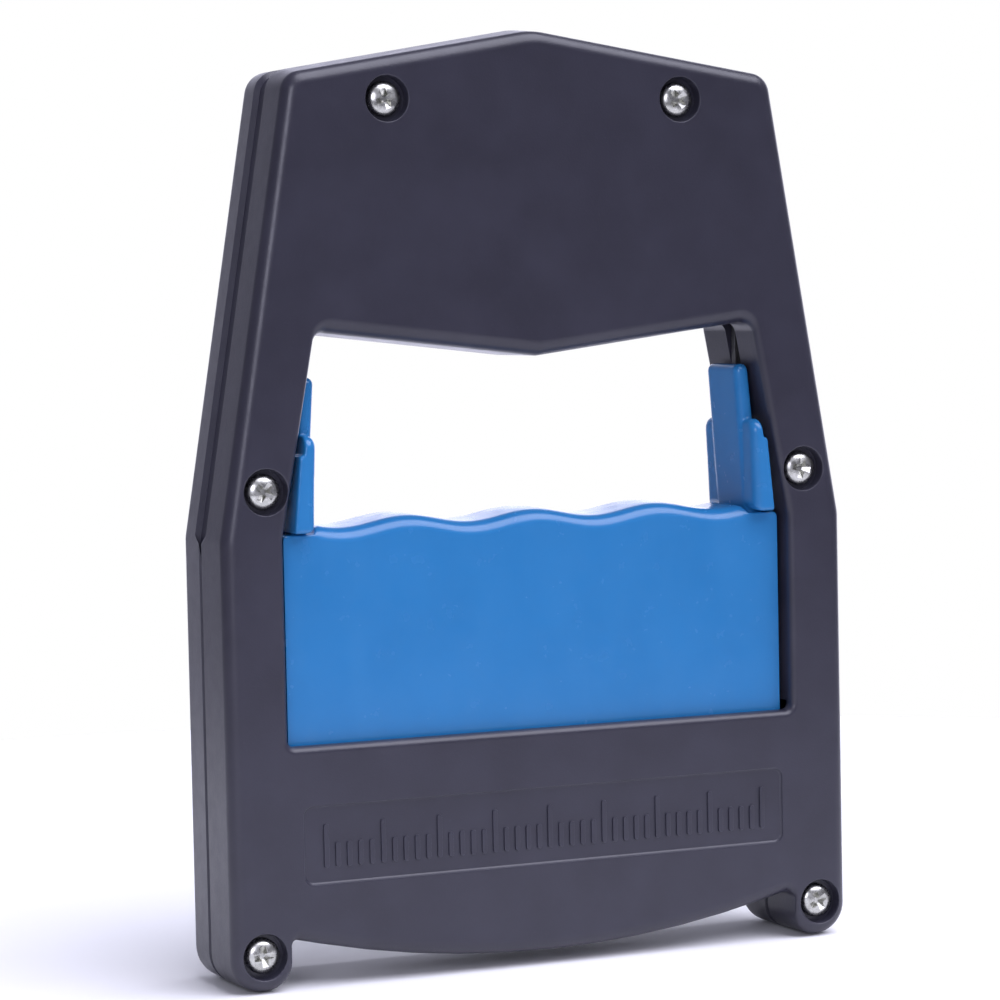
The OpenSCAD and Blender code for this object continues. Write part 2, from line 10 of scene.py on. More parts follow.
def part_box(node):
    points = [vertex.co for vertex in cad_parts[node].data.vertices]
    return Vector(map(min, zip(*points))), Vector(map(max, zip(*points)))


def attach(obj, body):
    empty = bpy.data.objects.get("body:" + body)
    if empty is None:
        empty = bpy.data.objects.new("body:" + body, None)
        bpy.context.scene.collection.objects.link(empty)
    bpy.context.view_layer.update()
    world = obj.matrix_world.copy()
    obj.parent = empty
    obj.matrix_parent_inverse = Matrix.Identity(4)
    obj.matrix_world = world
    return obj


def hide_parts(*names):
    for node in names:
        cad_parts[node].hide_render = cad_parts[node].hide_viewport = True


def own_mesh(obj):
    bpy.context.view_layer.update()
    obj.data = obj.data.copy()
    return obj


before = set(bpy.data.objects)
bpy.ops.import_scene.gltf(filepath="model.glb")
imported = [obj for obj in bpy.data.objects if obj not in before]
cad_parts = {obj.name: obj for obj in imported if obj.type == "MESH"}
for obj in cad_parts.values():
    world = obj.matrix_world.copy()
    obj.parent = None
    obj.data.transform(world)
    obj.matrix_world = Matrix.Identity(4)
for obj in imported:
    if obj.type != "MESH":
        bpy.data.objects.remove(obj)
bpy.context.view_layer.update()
MM = 0.001


# ---- places read from the frame, in millimetres ----


def node_box(node):
    low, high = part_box(node)
    return low / MM, high / MM


cover_low, cover_high = node_box("back_cover")
_, front_high = node_box("front_cover")
lens_low, lens_high = node_box("dial_lens")
plate_low, plate_high = node_box("dial_plate")
_, knob_high = node_box("reset_knob")
needle_low, needle_high = node_box("pointer")
hold_low, hold_high = node_box("max_pointer")
_, bezel_high = node_box("bezel_ring")
coil_low, coil_high = node_box("spring_right")

BACK_Y = cover_low.y
PART_Y = cover_high.y
FRONT_Y = front_high.y
MID_Y = (BACK_Y + FRONT_Y) / 2
HALF_W = cover_high.x
DIAL_Z = (plate_low.z + plate_high.z) / 2
WALL = 2.0

# Case outline: corners [x, z, radius], counterclockwise from the middle of the bottom
RIGHT_CORNERS = [
    (45.4, 8, 0.9),
    (45.4, 0, 4.5),
    (HALF_W, 0, 5.5),
    (HALF_W, 72, 8),
    (43.1, 146.1, 4),
]
BELLY = (0, -2.9, 172)
APEX = (0, 153.3, 14)
FILLET = 2.3
FOOT_FILLET = 0.6
DRAFT = 0.25
ROOF_DRAFT = 0.6

# Window for the hand
WINDOW_RIGHT = [(45.2, 39, 1.2), (45.2, 72, 6), (39, 104.7, 2)]
VEE = (0, 99.9, 3)
SIDE_FILLET = 1.2
VEE_FILLET = 2.7
WINDOW_WALL = 1.8

SCREWS = [(26, 141.5), (48, 79.7), (50, 6)]
HEAD_R = 2.85
BORE_R = 3.65
BORE_DEPTH = 2.3
BORE_LIP = 0.3
SCREW_HOLE_R = 1.6
THREAD_HOLE_R = 1.4
THREAD_HOLE_END = 5.3
BOSS_R = 3.2
COLLAR_R = 4.6

# Inside of the case: its bottom, the grip's well and the places of the springs
FLOOR_Z = 8.0
WELL_HALF_W = 47.1
WELL_TOP = 40.5
SPRING_X = 24.0


def mirrored(corners):
    return [(-x, z, r) for x, z, r in reversed(corners)]


CASE = [BELLY] + RIGHT_CORNERS + [APEX] + mirrored(RIGHT_CORNERS)
WINDOW = WINDOW_RIGHT + [VEE] + mirrored(WINDOW_RIGHT)

# ---- mesh tools ----


def new_object(name, mesh):
    obj = bpy.data.objects.new(name, mesh)
    bpy.context.scene.collection.objects.link(obj)
    return obj


def from_faces(name, points, faces):
    """Object from points in millimetres, with its normals turned outward."""
    mesh = bpy.data.meshes.new(name)
    mesh.from_pydata([tuple(p) for p in points], [], faces)
    bm = bmesh.new()
    bm.from_mesh(mesh)
    bmesh.ops.recalc_face_normals(bm, faces=bm.faces)
    if bm.calc_volume(signed=True) < 0:
        bmesh.ops.reverse_faces(bm, faces=bm.faces)
    bm.to_mesh(mesh)
    bm.free()
    return new_object(name, mesh)


def loft(name, rings, closed=False):
    """Skin over rings of equal length. An open row of rings gets a cap at each end."""
    n, k = len(rings[0]), len(rings)
    points = [p for ring in rings for p in ring]
    faces = []
    for i in range(k if closed else k - 1):
        low, high = i * n, (i + 1) % k * n
        for j in range(n):
            faces.append((low + j, low + (j + 1) % n, high + (j + 1) % n, high + j))
    if not closed:
        faces.append(tuple(reversed(range(n))))
        faces.append(tuple(range((k - 1) * n, k * n)))
    return from_faces(name, points, faces)


def lathe(name, place, profile, segments=72):
    """Solid turned about an axis along Y. The profile is [radius, y], and starts and ends on the axis."""
    x0, z0 = place
    inner = profile[1:-1]
    points = [(x0, profile[0][1], z0), (x0, profile[-1][1], z0)]
    for r, y in inner:
        for j in range(segments):
            a = math.tau * j / segments
            points.append((x0 + r * math.cos(a), y, z0 + r * math.sin(a)))
    faces = []
    last = 2 + (len(inner) - 1) * segments
    for j in range(segments):
        k = (j + 1) % segments
        faces.append((0, 2 + j, 2 + k))
        faces.append((1, last + k, last + j))
        for i in range(len(inner) - 1):
            a, b = 2 + i * segments, 2 + (i + 1) * segments
            faces.append((a + j, b + j, b + k, a + k))
    return from_faces(name, points, faces)


def block(name, low, high):
    """Plain box, used to cut or join other solids."""
    (x0, y0, z0), (x1, y1, z1) = low, high
    sides = ((y0, z0), (y1, z0), (y1, z1), (y0, z1))
    return loft(name, [[(x, y, z) for y, z in sides] for x in (x0, x1)])


def side_block(name, side, xs, ys, zs):
    """Block given for the right side, mirrored where side is -1."""
    low, high = sorted((side * xs[0], side * xs[1]))
    return block(name, (low, ys[0], zs[0]), (high, ys[1], zs[1]))


def evaluated(obj):
    """Puts the mesh that the modifiers make in the object's place."""
    graph = bpy.context.evaluated_depsgraph_get()
    mesh = bpy.data.meshes.new_from_object(obj.evaluated_get(graph))
    obj.modifiers.clear()
    obj.data = mesh
    return obj


def combine(obj, other, operation="DIFFERENCE"):
    modifier = obj.modifiers.new("combine", "BOOLEAN")
    modifier.object = other
    modifier.operation = operation
    modifier.solver = "MANIFOLD"
    evaluated(obj)
    bpy.data.objects.remove(other)
    return obj


def smooth_normals(obj, sharp_angle=28):
    """Smooth shading with sharp creases, and flat faces kept flat."""
    bm = bmesh.new()
    bm.from_mesh(obj.data)
    bmesh.ops.remove_doubles(bm, verts=bm.verts, dist=0.002)
    bmesh.ops.dissolve_degenerate(bm, edges=bm.edges, dist=0.001)
    for face in bm.faces:
        face.smooth = True
    for edge in bm.edges:
        edge.smooth = len(edge.link_faces) == 2 and edge.calc_face_angle(0) < math.radians(sharp_angle)
    bm.to_mesh(obj.data)
    bm.free()
    weighted = obj.modifiers.new("weighted", "WEIGHTED_NORMAL")
    weighted.keep_sharp = True
    return obj


def finish_piece(obj, body, slot, material, *nodes):
    """Brings a piece to metres, gives it its finish and fixes it to its body."""
    obj.data.transform(Matrix.Scale(MM, 4))
    obj.data.materials.clear()
    obj.data.materials.append(material)
    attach(obj, body)
    if nodes:
        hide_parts(*nodes)
    return obj


# ---- rounded outlines ----

CORNER_STEPS = 10
FILLET_STEPS = 8


def line_crossing(p, d, q, e):
    """Where the line through p along d meets the line through q along e."""
    t = ((q - p).x * e.y - (q - p).y * e.x) / (d.x * e.y - d.y * e.x)
    return p + d * t


def ring(corners, insets, depths, y, side):
    """Closed ring of points. Each edge has its own inset and its own depth below y."""
    n = len(corners)
    flat = [Vector(c[:2]) for c in corners]
    ways = [(flat[(i + 1) % n] - flat[i]).normalized() for i in range(n)]
    inward = [Vector((-w.y, w.x)) for w in ways]
    points = []
    for i in range(n):
        before = (i - 1) % n
        corner = line_crossing(
            flat[before] + inward[before] * insets[before], ways[before],
            flat[i] + inward[i] * insets[i], ways[i],
        )
        cross = ways[before].x * ways[i].y - ways[before].y * ways[i].x
        turn = 1 if cross > 0 else -1
        angle = math.acos(max(-1, min(1, ways[before].dot(ways[i]))))
        r = max(0.05, corners[i][2] - turn * (insets[before] + insets[i]) / 2)
        start = corner - ways[before] * r * math.tan(angle / 2)
        centre = start + inward[before] * r * turn
        arm = start - centre
        for k in range(CORNER_STEPS + 1):
            part = k / CORNER_STEPS
            a = turn * angle * part
            cos_a, sin_a = math.cos(a), math.sin(a)
            p = centre + Vector((arm.x * cos_a - arm.y * sin_a, arm.x * sin_a + arm.y * cos_a))
            depth = depths[before] * (1 - part) + depths[i] * part
            points.append((p.x, y + side * depth, p.y))
    return points


def level_ring(corners, inset, y):
    """Ring with the same inset all round, flat at y."""
    n = len(corners)
    return ring(corners, [inset] * n, [0] * n, y, 1)


def fillet_rings(corners, radii, leans, y, side, out=1):
    """Rings of a quarter round from the face at y down to the outline moved in by each edge's lean.

    out is -1 for a window.
    """
    rings = []
    for k in range(FILLET_STEPS + 1):
        a = math.pi / 2 * k / FILLET_STEPS
        insets = [lean + out * r * (1 - math.sin(a)) for r, lean in zip(radii, leans)]
        depths = [r * (1 - math.cos(a)) for r in radii]
        rings.append(ring(corners, insets, depths, y, side))
    return rings


def prism(name, corners, inset, y0, y1):
    return loft(name, [level_ring(corners, inset, y0), level_ring(corners, inset, y1)])


# ---- covers ----

# Edges of the case run from each corner to the next one
FOOT_EDGES = (1, 2 * len(RIGHT_CORNERS))
ROOF_EDGES = (5, 6)
UPPER_EDGES = (4, 5, 6, 7)
VEE_EDGES = (2, 3)


def outer_radii():
    """Fillet of each edge of the case's faces."""
    return [FOOT_FILLET if i in FOOT_EDGES else FILLET for i in range(len(CASE))]


def back_leans():
    """Draft of the back cover's outside, more on its roof and none under the feet."""
    leans = [DRAFT] * len(CASE)
    for i in ROOF_EDGES:
        leans[i] = ROOF_DRAFT
    for i in FOOT_EDGES:
        leans[i] = 0
    return leans


def window_radii():
    """Fillet of each edge of the window."""
    return [VEE_FILLET if i in VEE_EDGES else SIDE_FILLET for i in range(len(WINDOW))]


def cover_skin(name, face_y, side, leans, seam, upper_seam, seam_profile):
    """Outside of a cover: rounded face edge, plain side and a rebate along the parting line.

    The face is smaller than the parting line by each edge's lean. A seam is the rebate's width
    and depth, wider on the leaning sides and the roof. Its profile lists shares of both.
    """
    seams = [upper_seam if i in UPPER_EDGES else seam for i in range(len(CASE))]
    rings = fillet_rings(CASE, outer_radii(), leans, face_y, side)
    for width_share, depth_share in seam_profile:
        insets = [depth * depth_share for width, depth in seams]
        widths = [width * width_share for width, depth in seams]
        rings.append(ring(CASE, insets, widths, PART_Y, -side))
    return loft(name, rings)


def window_cutter(face_y, side):
    """Cuts the window for the hand, with rounded edges at the face."""
    rings = fillet_rings(WINDOW, window_radii(), [0] * len(WINDOW), face_y, side, out=-1)
    n = len(WINDOW)
    top = ring(WINDOW, [-r for r in window_radii()], [0] * n, face_y - side, side)
    bottom = level_ring(WINDOW, 0, face_y + side * 30)
    return loft("window", [top] + rings + [bottom])


def cover_room(y0, y1, collars):
    """Space inside a cover. Window walls, floor, screw bosses and collars are left standing."""
    room = prism("room", CASE, WALL, y0, y1)
    combine(room, prism("walls", WINDOW, -WINDOW_WALL, y0 - 1, y1 + 1))
    combine(room, block("floor", (-80, y0 - 1, -10), (80, y1 + 1, FLOOR_Z)))
    for place in screw_places():
        combine(room, rod("boss", place, BOSS_R, y0 - 1, y1 + 1))
    well = block("well", (-WELL_HALF_W, y0, FLOOR_Z + 2), (WELL_HALF_W, y1, WELL_TOP))
    combine(room, well, "UNION")
    for place, radius, low, high in collars:
        combine(room, rod("collar", place, radius, low, high))
    return room


def rod(name, place, radius, y0, y1):
    return lathe(name, place, [(0, y0), (radius, y0), (radius, y1), (0, y1)], 64)


def screw_places():
    return [(s * x, z) for s in (-1, 1) for x, z in SCREWS]


def counterbore(place):
    """Bore for a screw's head, with a broken edge, and the screw's hole below it."""
    lip_r, floor_y = BORE_R + BORE_LIP, BACK_Y + BORE_DEPTH
    return lathe("counterbore", place, [
        (0, BACK_Y - 1), (lip_r, BACK_Y - 1), (lip_r, BACK_Y), (BORE_R + 0.35 * BORE_LIP, BACK_Y + 0.1),
        (BORE_R, BACK_Y + BORE_LIP), (BORE_R, floor_y), (SCREW_HOLE_R, floor_y),
        (SCREW_HOLE_R, PART_Y + 1), (0, PART_Y + 1),
    ])


def rounded_rectangle(x0, z0, x1, z1, r):
    return [(x1, z0, r), (x1, z1, r), (x0, z1, r), (x0, z0, r)]


PLAQUE_HALF_W = 43
PLAQUE_LOW = 16.8
PLAQUE_TOP = 29.4
PLAQUE_DEPTH = 0.45
MARK_COUNT = 41
MARK_STEP = 1.96
MARK_WIDTH = 0.85
MARK_LOW = 19.4
MARK_HEIGHT = 4
TALL_MARK_HEIGHT = 7
MARK_SINK = 0.08


def plaque_cutter():
    """Shallow recess with sloped, rounded edges."""
    corners = rounded_rectangle(-PLAQUE_HALF_W, PLAQUE_LOW, PLAQUE_HALF_W, PLAQUE_TOP, 1.6)
    wall = ((-0.25, -1), (-0.25, 0), (-0.05, 0.1), (0.05, 0.3), (0.3, PLAQUE_DEPTH))
    return loft("plaque", [level_ring(corners, inset, BACK_Y + depth) for inset, depth in wall])


def graduation(x, height):
    """One raised mark with rounded edges, sunk a little below the cover's face."""
    half = MARK_WIDTH / 2
    corners = rounded_rectangle(x - half, MARK_LOW, x + half, MARK_LOW + height, MARK_WIDTH * 0.4)
    top = BACK_Y + MARK_SINK
    wall = ((0.14, top), (0.04, top + 0.05), (0, top + 0.14), (-0.06, BACK_Y + PLAQUE_DEPTH + 0.2))
    return loft("mark", [level_ring(corners, inset, y) for inset, y in wall])


def plaque_marks():
    """Raised graduation marks, every fifth one taller."""
    marks = []
    for i in range(MARK_COUNT):
        x = (i - (MARK_COUNT - 1) / 2) * MARK_STEP
        marks.append(graduation(x, TALL_MARK_HEIGHT if i % 5 == 0 else MARK_HEIGHT))
    return join("plaque_marks", marks)


# Outline of the slot through the window's right side wall, [x, z]
SLOT = [(36, 36), (46.7, 36), (46.7, 75.4), (44.4, 75.4), (44.4, 90), (47, 90), (46, 112), (38, 112)]


def window_slots(y0, y1):
    """Slots in the window's side walls, where the tongues and ribs of the grip run."""
    return [loft("slot", [[(side * x, y, z) for x, z in SLOT] for y in (y0, y1)]) for side in (-1, 1)]


# Groove along the parting line: its width and depth in each cover, and shares of both along its wall
SEAM = (0.6, 0.5)
BACK_GROOVE = (2.4, 1.1)
FRONT_GROOVE = (2.6, 1.1)
STEPPED_WALL = ((1.1, 0), (1, 0.6), (0.9, 1), (0, 1))
SLOPED_WALL = ((1, 0), (0.75, 0.75), (0, 1))

# The shaft's bush, the ribs of the stop pads and the posts of the movement plate
BUSH_COLLAR_R = 4
BUSH_COLLAR_END = -6.2
BUSH_R = 2.05
PAD_RIB_X = 33
POST_R = 2.5
POST_HOLE_R = 0.8
POSTS = [(x, DIAL_Z + z) for x in (-25.5, 25.5) for z in (-9, 7)]


def back_cover(material):
    """Cover with the screws' bores, the plaque and the ribs that hold the stop pads."""
    cover = cover_skin("back_cover_shell", BACK_Y, 1, back_leans(), SEAM, BACK_GROOVE, STEPPED_WALL)
    combine(cover, window_cutter(BACK_Y, 1))
    inner = BACK_Y + WALL
    collars = [(place, COLLAR_R, inner - 1, inner + 2) for place in screw_places()]
    collars.append(((0, DIAL_Z), BUSH_COLLAR_R, inner - 1, BUSH_COLLAR_END))
    room = cover_room(inner, PART_Y + 1, collars)
    for side in (-1, 1):
        x = side * PAD_RIB_X
        combine(room, block("pad_rib", (x - 3, inner - 1, 131.8), (x + 3, -3, 134)))
    combine(cover, room)
    for slot in window_slots(PART_Y - 3.6, PART_Y + 1):
        combine(cover, slot)
    for place in screw_places():
        combine(cover, counterbore(place))
    combine(cover, rod("bush_seat", (0, DIAL_Z), BUSH_R, inner + 0.9, -5))
    combine(cover, plaque_cutter())
    combine(cover, plaque_marks(), "UNION")
    smooth_normals(cover)
    return finish_piece(cover, "case", "case_plastic", material, "back_cover")


def front_cover(material):
    """Cover with the dial's opening, the lens's seat, the posts and the screws' threaded holes."""
    no_leans = [0] * len(CASE)
    cover = cover_skin("front_cover_shell", FRONT_Y, -1, no_leans, SEAM, FRONT_GROOVE, SLOPED_WALL)
    combine(cover, window_cutter(FRONT_Y, -1))
    inner = FRONT_Y - WALL
    collar_y = needle_high.y
    collars = [((0, DIAL_Z), 22, collar_y - 1, inner + 1)]
    collars += [(place, POST_R, plate_low.y + 0.3, inner + 1) for place in POSTS]
    combine(cover, cover_room(PART_Y - 1, inner, collars))
    combine(cover, rod("dial_room", (0, DIAL_Z), 22.5, PART_Y - 1, collar_y))
    combine(cover, rod("dial_window", (0, DIAL_Z), 19, PART_Y - 1, FRONT_Y + 1))
    combine(cover, rod("lens_seat", (0, DIAL_Z), 20.6, lens_low.y - 0.3, FRONT_Y + 1))
    for place in POSTS:
        combine(cover, rod("post_hole", place, POST_HOLE_R, PART_Y, inner - 0.6))
    for place in screw_places():
        combine(cover, rod("thread_hole", place, THREAD_HOLE_R, PART_Y - 1, THREAD_HOLE_END))
    smooth_normals(cover)
    return finish_piece(cover, "case", "case_plastic", material, "front_cover")


# ---- case screws ----

SCREW_TURNS = (20, -35, 8, 38, -12, 28)
HEAD_HEIGHT = 1.85
HEAD_RIM = 0.7
THREAD_R = 1.38
CORE_R = 1.05
THREAD_PITCH = 0.9
THREAD_LENGTH = 12.4

# Depth, half length and half width of a recess blade, from above the head down to its tip
BLADE = ((-0.5, 2.0, 0.62), (0.25, 1.65, 0.48), (1.1, 0.5, 0.2))
BLADE_CORNERS = ((1, -1), (1, 1), (-1, 1), (-1, -1))


def cross_recess(place, y, angle):
    """Two tapered blades that cut a cross recess."""
    blades = []
    for turn in (0, 90):
        a = math.radians(angle + turn)
        along, across = Vector((math.cos(a), math.sin(a))), Vector((-math.sin(a), math.cos(a)))
        rings = []
        for depth, half_l, half_w in BLADE:
            corners = [along * (u * half_l) + across * (v * half_w) for u, v in BLADE_CORNERS]
            rings.append([(place[0] + c.x, y + depth, place[1] + c.y) for c in corners])
        blades.append(loft("blade", rings))
    return blades


def case_screw(index, place):
    """Pan head screw: domed head with a cross recess, and a threaded shank."""
    seat = BACK_Y + BORE_DEPTH
    top = seat - HEAD_HEIGHT
    profile = [(0, top)]
    for k in range(1, 9):
        a = math.radians(90 * k / 8)
        dome = (seat - HEAD_RIM - top) * math.cos(a)
        profile.append((HEAD_R * 0.97 * math.sin(a), seat - HEAD_RIM - dome))
    profile += [(HEAD_R, seat - 0.5), (HEAD_R, seat - 0.08), (HEAD_R - 0.08, seat), (1.35, seat)]
    y, end = seat + 0.4, seat + THREAD_LENGTH
    while y < end:
        profile += [(CORE_R, y), (THREAD_R, y + THREAD_PITCH / 2)]
        y += THREAD_PITCH
    profile += [(0.9, y), (0.2, y + 1), (0, y + 1)]
    screw = lathe(f"case_screw_{index + 1}", place, profile, 48)
    for blade in cross_recess(place, top, SCREW_TURNS[index]):
        combine(screw, blade)
    smooth_normals(screw, 32)
    return screw


def case_screws(material):
    for i, place in enumerate(screw_places()):
        screw = case_screw(i, place)
        finish_piece(screw, "case", "zinc_screw", material, "case_screws")


# ---- grip ----

PANEL_HALF_W = 44.3
PANEL_Y = (MID_Y - 7.1, MID_Y + 7.1)
PANEL_LOW = 22.0
PANEL_TOP = 72.5
BAR_HALF = 39.0
CREST_Z = 74.9
FINGER_PITCH = 22.4
FINGER_DEPTH = 1.5
CROWN_DROP = 0.1
PANEL_EDGE = 0.35
BAR_EDGE = 2.2
END_CORNER = 0.6


def wave_z(x):
    return CREST_Z - FINGER_DEPTH / 2 * (1 - math.cos(math.tau * x / FINGER_PITCH))


def ease(t):
    t = max(0.0, min(1.0, t))
    return t * t * (3 - 2 * t)


def panel_section(x):
    """Cross-section of the panel at x: two flat sides, rounded top edges and a crowned top."""
    bar = 1 - ease((abs(x) - BAR_HALF + 0.9) / 0.9)
    drop = CROWN_DROP * bar
    edge = PANEL_EDGE + BAR_EDGE * bar
    top = PANEL_TOP + (wave_z(x) - PANEL_TOP) * bar
    reach = PANEL_HALF_W - abs(x)
    if reach < END_CORNER:
        top -= END_CORNER - math.sqrt(max(0.0, END_CORNER**2 - (END_CORNER - reach) ** 2))
    half = (PANEL_Y[1] - PANEL_Y[0]) / 2
    rim = half - edge
    side_z = top - drop - edge
    points = [(-half, PANEL_LOW + 0.6), (-half, side_z)]
    for k in range(1, 8):
        a = math.pi / 2 * k / 8
        points.append((-rim - edge * math.cos(a), side_z + edge * math.sin(a)))
    for k in range(17):
        y = rim * (k / 8 - 1)
        points.append((y, top - drop * (y / rim) ** 2))
    points += [(-y, z) for y, z in reversed(points[:9])]
    points += [(half - 0.6, PANEL_LOW), (-half + 0.6, PANEL_LOW)]
    return [(x, MID_Y + y, z) for y, z in points]


def panel():
    """Panel and finger bar, with close sections at the ends and wider ones along the waves."""
    waves = 38.4
    xs = [-PANEL_HALF_W, -PANEL_HALF_W + 0.08, -PANEL_HALF_W + 0.25]
    x = -PANEL_HALF_W + 0.5
    while x < -waves:
        xs.append(x)
        x += 0.25
    xs += [-waves + 0.8 * i for i in range(97)]
    xs += [-x for x in reversed(xs) if x < -waves - 0.01]
    return loft("grip_shell", [panel_section(x) for x in xs])


def arm_out(z):
    """Distance of an arm's outer face from the middle of the grip."""
    return 42.9 - 0.095 * (z - 73.7)


def arm_in(z):
    """Distance of an arm's inner face from the middle of the grip."""
    return 39.2 - 0.07 * (z - 76)


def arm_plate(name, side, half_y, low, high, back, face_inset, corner_r, edge_r):
    """Leaning plate whose inner face has rounded edges.

    back moves its outer face inward, and face_inset sets its inner face back, less near the bar.
    """
    corners = rounded_rectangle(-half_y, low, half_y, high, corner_r)
    rings = []
    steps = 6
    for k in range(steps + 1):
        a = math.pi / 2 * k / steps
        inset, depth = edge_r * (1 - math.sin(a)), edge_r * (1 - math.cos(a))
        rings.append([
            (side * (arm_in(z) + face_inset * ease((z - 72) / 16) + depth), MID_Y + y, z)
            for y, _, z in level_ring(corners, inset, 0)
        ])
    for inset, depth in ((0, 0.35), (0.1, 0.1), (0.35, 0)):
        outline = level_ring(corners, inset, 0)
        rings.append([(side * (arm_out(z) - back - depth), MID_Y + y, z) for y, _, z in outline])
    return loft(name, rings)


WING_HALF_Y = 9.2
STEM_HALF_Y = 5.7
WING_INSET = 0.45
TOP_BACK = 0.7


def arm(side):
    """One arm: wings in front and behind, a proud stem and the step that the wings end in."""
    wings = arm_plate("arm", side, WING_HALF_Y, 72.8, 85.2, 0, WING_INSET, corner_r=0.5, edge_r=1.5)
    tops = arm_plate("tops", side, WING_HALF_Y, 80, 88.3, TOP_BACK, WING_INSET, corner_r=2.2, edge_r=1.4)
    stem = arm_plate("stem", side, STEM_HALF_Y, 68, 97.5, TOP_BACK, 0, corner_r=1.3, edge_r=1.3)
    combine(wings, tops, "UNION")
    combine(wings, stem, "UNION")
    remesh = wings.modifiers.new("remesh", "REMESH")
    remesh.mode = "VOXEL"
    remesh.voxel_size = 0.2
    soften = wings.modifiers.new("soften", "SMOOTH")
    soften.factor = 0.5
    soften.iterations = 5
    evaluated(wings)
    return wings


def upright(name, x, radius, low, high):
    """Round bar along Z."""
    segments = 48
    turns = [math.tau * j / segments for j in range(segments)]
    circle = [(x + radius * math.cos(a), MID_Y + radius * math.sin(a)) for a in turns]
    return loft(name, [[(u, v, z) for u, v in circle] for z in (low, high)])


# Ribs, link seats, pockets and bores of the grip
LINK_SEAT_Y = -3.2
RIB_Y = -4.8
LINK_SEAT_Z = 88.5
POCKETS = ((1.5, 16.5), (31.5, 40.5))
POCKET_TOP = 64
SPRING_BORE_R = 5.4
SPRING_BORE_TOP = 57
ROD_BORE_R = 2.0
ROD_BORE_TOP = 70.5


def grip(material):
    """Panel with its arms, ribs and tongues, hollowed for the springs, rods and links."""
    body = panel()
    tongue_y, tongue_z = (RIB_Y, PART_Y - 0.3), (56, PANEL_TOP - 0.5)
    for side in (-1, 1):
        combine(body, arm(side), "UNION")
        rib = side_block("rib", side, (39.2, 43.3), (RIB_Y, LINK_SEAT_Y), (LINK_SEAT_Z, 96))
        combine(body, rib, "UNION")
        combine(body, side_block("tongue", side, (43, 46.2), tongue_y, tongue_z), "UNION")
    pocket_y, pocket_z = (PANEL_Y[0] + 2, PANEL_Y[1] - 2), (PANEL_LOW - 1, POCKET_TOP)
    seat_y, seat_z = (LINK_SEAT_Y, PART_Y), (LINK_SEAT_Z, 98.5)
    for side in (-1, 1):
        x = side * SPRING_X
        combine(body, upright("spring_bore", x, SPRING_BORE_R, PANEL_LOW - 1, SPRING_BORE_TOP))
        combine(body, upright("rod_bore", x, ROD_BORE_R, 50, ROD_BORE_TOP))
        for pocket_x in POCKETS:
            combine(body, side_block("pocket", side, pocket_x, pocket_y, pocket_z))
        combine(body, side_block("link_seat", side, (40.3, 44.3), seat_y, seat_z))
    smooth_normals(body, 35)
    return finish_piece(body, "grip", "grip_plastic", material, "grip")


# ---- springs ----

SPRING_TURNS = 13
CLOSED_TURNS = 0.9
WIRE_R = 1.1


def spring(name, x, material, node):
    """Compression spring with closed ends."""
    low, high = coil_low.z + WIRE_R, coil_high.z - WIRE_R
    coil_r = (coil_high.x - coil_low.x) / 2 - WIRE_R
    per_turn, sides = 40, 14
    flat_rise = 2 * WIRE_R * 0.5
    rings = []
    for i in range(SPRING_TURNS * per_turn + 1):
        turn = i / per_turn
        t = ease((turn - CLOSED_TURNS) / (SPRING_TURNS - 2 * CLOSED_TURNS))
        start = min(turn / CLOSED_TURNS, 1) * flat_rise
        end = max((turn - SPRING_TURNS + CLOSED_TURNS) / CLOSED_TURNS, 0) * flat_rise
        z = low + start + end + (high - low - 2 * flat_rise) * t
        a = math.tau * turn
        out = Vector((math.cos(a), math.sin(a), 0))
        centre = Vector((x, MID_Y, z)) + out * coil_r
        section = []
        for j in range(sides):
            b = math.tau * j / sides
            lift = Vector((0, 0, WIRE_R * math.sin(b)))
            section.append(tuple(centre + out * (WIRE_R * math.cos(b)) + lift))
        rings.append(section)
    obj = loft(name, rings)
    smooth_normals(obj, 50)
    obj.modifiers.clear()
    finish_piece(obj, "case", "spring_steel", material, node)
    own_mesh(obj)
    return obj


# ---- dial ----

ZERO_TURN = 225
FULL_SWEEP = 270
SCALE_TOP = 100


def dial_point(r, turn, y):
    """Point on the dial at a clockwise turn from the top, as seen from the front."""
    a = math.radians(turn)
    return (-r * math.sin(a), y, DIAL_Z + r * math.cos(a))


def scale_turn(value):
    return ZERO_TURN + FULL_SWEEP * value / SCALE_TOP


def dial_bar(turn, r0, r1, width, y, thick):
    """Thin printed mark along a radius."""
    a = math.radians(turn)
    across = Vector((math.cos(a), 0, math.sin(a))) * width / 2
    ends = ((r0, -1), (r1, -1), (r1, 1), (r0, 1))
    corners = [Vector(dial_point(r, turn, 0)) + across * s for r, s in ends]
    return [[(c.x, y + h, c.z) for c in corners] for h in (0, thick)]


def join(name, objects):
    """One object with all the given meshes in it."""
    bm = bmesh.new()
    for obj in objects:
        obj.data.transform(obj.matrix_world)
        bm.from_mesh(obj.data)
        bpy.data.objects.remove(obj)
    mesh = bpy.data.meshes.new(name)
    bm.to_mesh(mesh)
    bm.free()
    return new_object(name, mesh)


def number(value, turn, r, size, y, thick):
    """Raised numeral that reads upright from the front."""
    curve = bpy.data.curves.new("number", "FONT")
    curve.body = str(value)
    curve.size = size
    curve.align_x = "CENTER"
    curve.align_y = "CENTER"
    curve.extrude = thick / 2
    obj = new_object("number", curve)
    x, _, z = dial_point(r, turn, y)
    place = Matrix.Translation((x, y + thick / 2, z))
    obj.matrix_world = place @ Matrix.Rotation(math.pi, 4, "Z") @ Matrix.Rotation(math.pi / 2, 4, "X")
    bpy.context.view_layer.update()
    graph = bpy.context.evaluated_depsgraph_get()
    mesh = bpy.data.meshes.new_from_object(obj.evaluated_get(graph))
    mesh.transform(obj.matrix_world)
    bpy.data.objects.remove(obj)
    return new_object("number", mesh)


